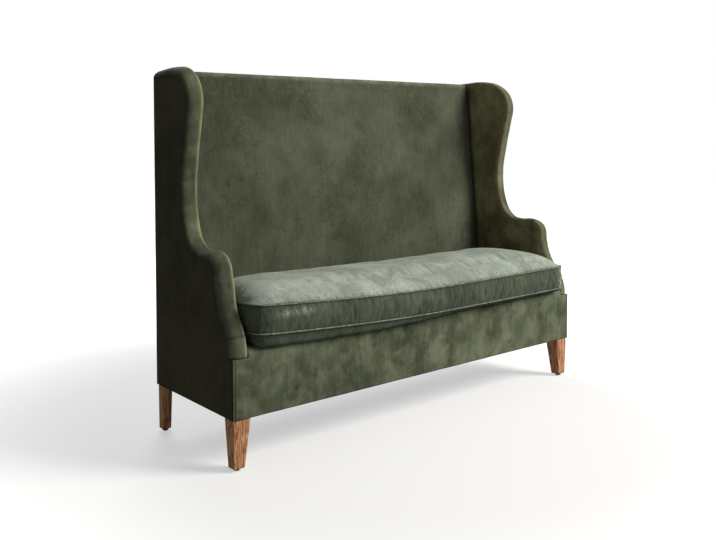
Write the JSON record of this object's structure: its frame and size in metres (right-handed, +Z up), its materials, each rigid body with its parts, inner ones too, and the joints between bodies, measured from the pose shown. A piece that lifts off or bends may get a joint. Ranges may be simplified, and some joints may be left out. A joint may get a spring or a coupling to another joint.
{
  "type": "high back settee",
  "caption": "High back settee with tall winged sides, padded roll edges, a raked back, a loose boxed seat cushion and tapered wooden legs.",
  "frame": {"origin": "on the floor, under the middle of the settee's own box", "axes": "+Z up, the front faces -Y, and +X runs along the seat to the right of a person who faces the settee"},
  "size_m": [1.6342, 0.5562, 1.2],
  "materials": {
    "velvet": "matte",
    "cushion_cloth": "matte",
    "foam": "matte",
    "frame_timber": "matte",
    "leg_wood": "satin",
    "webbing": "matte",
    "lining": "matte",
    "bolt_steel": "satin",
    "zip_metal": "satin",
    "zip_tape": "matte",
    "glide_plastic": "satin"
  },
  "bodies": {
    "settee_frame": {"front_seat_rail": "frame_timber", "rear_seat_rail": "frame_timber", "side_seat_rail_right": "frame_timber", "side_seat_rail_left": "frame_timber", "centre_seat_brace": "frame_timber", "front_post_right": "frame_timber", "front_post_left": "frame_timber", "back_post_right": "frame_timber", "back_post_left": "frame_timber", "back_top_rail": "frame_timber", "back_tacking_rail": "frame_timber", "wing_board_right": "frame_timber", "wing_board_left": "frame_timber", "leg_front_right": "leg_wood", "leg_front_left": "leg_wood", "leg_rear_right": "leg_wood", "leg_rear_left": "leg_wood", "leg_bolt_front_right": "bolt_steel", "leg_bolt_front_left": "bolt_steel", "leg_bolt_rear_right": "bolt_steel", "leg_bolt_rear_left": "bolt_steel", "glide_front_right": "glide_plastic", "glide_front_left": "glide_plastic", "glide_rear_right": "glide_plastic", "glide_rear_left": "glide_plastic", "seat_web_1": "webbing", "seat_web_2": "webbing", "seat_web_3": "webbing", "seat_web_4": "webbing", "seat_web_5": "webbing", "seat_web_6": "webbing", "seat_web_7": "webbing", "seat_web_long": "webbing", "back_web_1": "webbing", "back_web_2": "webbing", "back_web_3": "webbing", "seat_platform_pad": "foam", "front_pad": "foam", "inside_back_pad": "foam", "wing_pad_right": "foam", "wing_pad_left": "foam", "wing_roll_right": "velvet", "wing_roll_left": "velvet", "inside_wing_cover_right": "velvet", "inside_wing_cover_left": "velvet", "outside_panel_right": "velvet", "outside_panel_left": "velvet", "corner_piping_right": "velvet", "corner_piping_left": "velvet", "front_cover": "velvet", "inside_back_cover": "velvet", "outside_back_panel": "velvet", "underside_lining": "lining"},
    "seat_cushion": {"cushion_core": "foam", "cushion_cover": "cushion_cloth", "cushion_piping_top": "cushion_cloth", "cushion_piping_bottom": "cushion_cloth", "cushion_zip_tape": "zip_tape"},
    "zip_slider": {"zip_slider": "zip_metal"}
  },
  "joints": [
    {"name": "cushion_lift", "type": "slide", "parent": "settee_frame", "child": "seat_cushion", "axis": [0, 0, 1], "range_m": [0, 0.86]},
    {"name": "zip_run", "type": "slide", "parent": "seat_cushion", "child": "zip_slider", "axis": [1, 0, 0], "range_m": [0, 1.02]}
  ]
}
